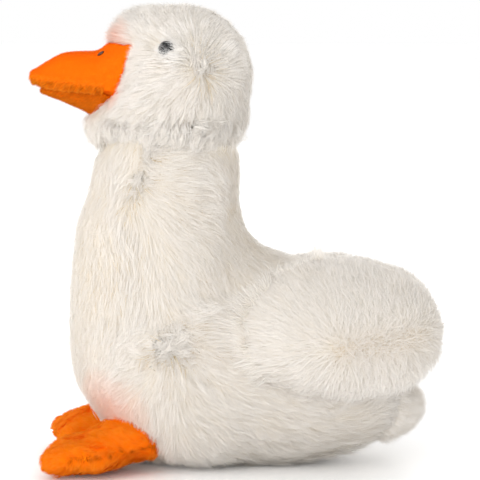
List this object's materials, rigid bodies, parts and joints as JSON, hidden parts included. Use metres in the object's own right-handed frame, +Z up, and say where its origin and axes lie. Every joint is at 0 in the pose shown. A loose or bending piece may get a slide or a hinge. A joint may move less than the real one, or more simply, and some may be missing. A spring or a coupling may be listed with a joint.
{
  "type": "plush goose",
  "caption": "Sitting plush goose of long white fur, with an upright neck, puffy folded wings, a small tail, an orange bill and webbed feet, and black eyes.",
  "frame": {"origin": "on the floor, in the flat underside of the body, on the mirror plane and below the back of the neck", "axes": "+Z up, +X to the goose's left, -Y the way that the goose looks"},
  "size_m": [0.1662, 0.2615, 0.2917],
  "materials": {
    "white_fur": "long straight pile, brushed soft",
    "orange_velour": "short dense pile",
    "black_eye": "polished",
    "white_nylon": "as moulded",
    "brown_thread": "satin stitch"
  },
  "bodies": {
    "root": {"body": "white_fur", "head": "white_fur", "left_wing": "white_fur", "right_wing": "white_fur", "tail": "white_fur", "upper_bill": "orange_velour", "lower_bill": "orange_velour", "left_foot": "orange_velour", "right_foot": "orange_velour", "left_eye": "black_eye", "right_eye": "black_eye", "left_eye_washer": "white_nylon", "right_eye_washer": "white_nylon", "left_nostril": "brown_thread", "right_nostril": "brown_thread"}
  },
  "joints": []
}
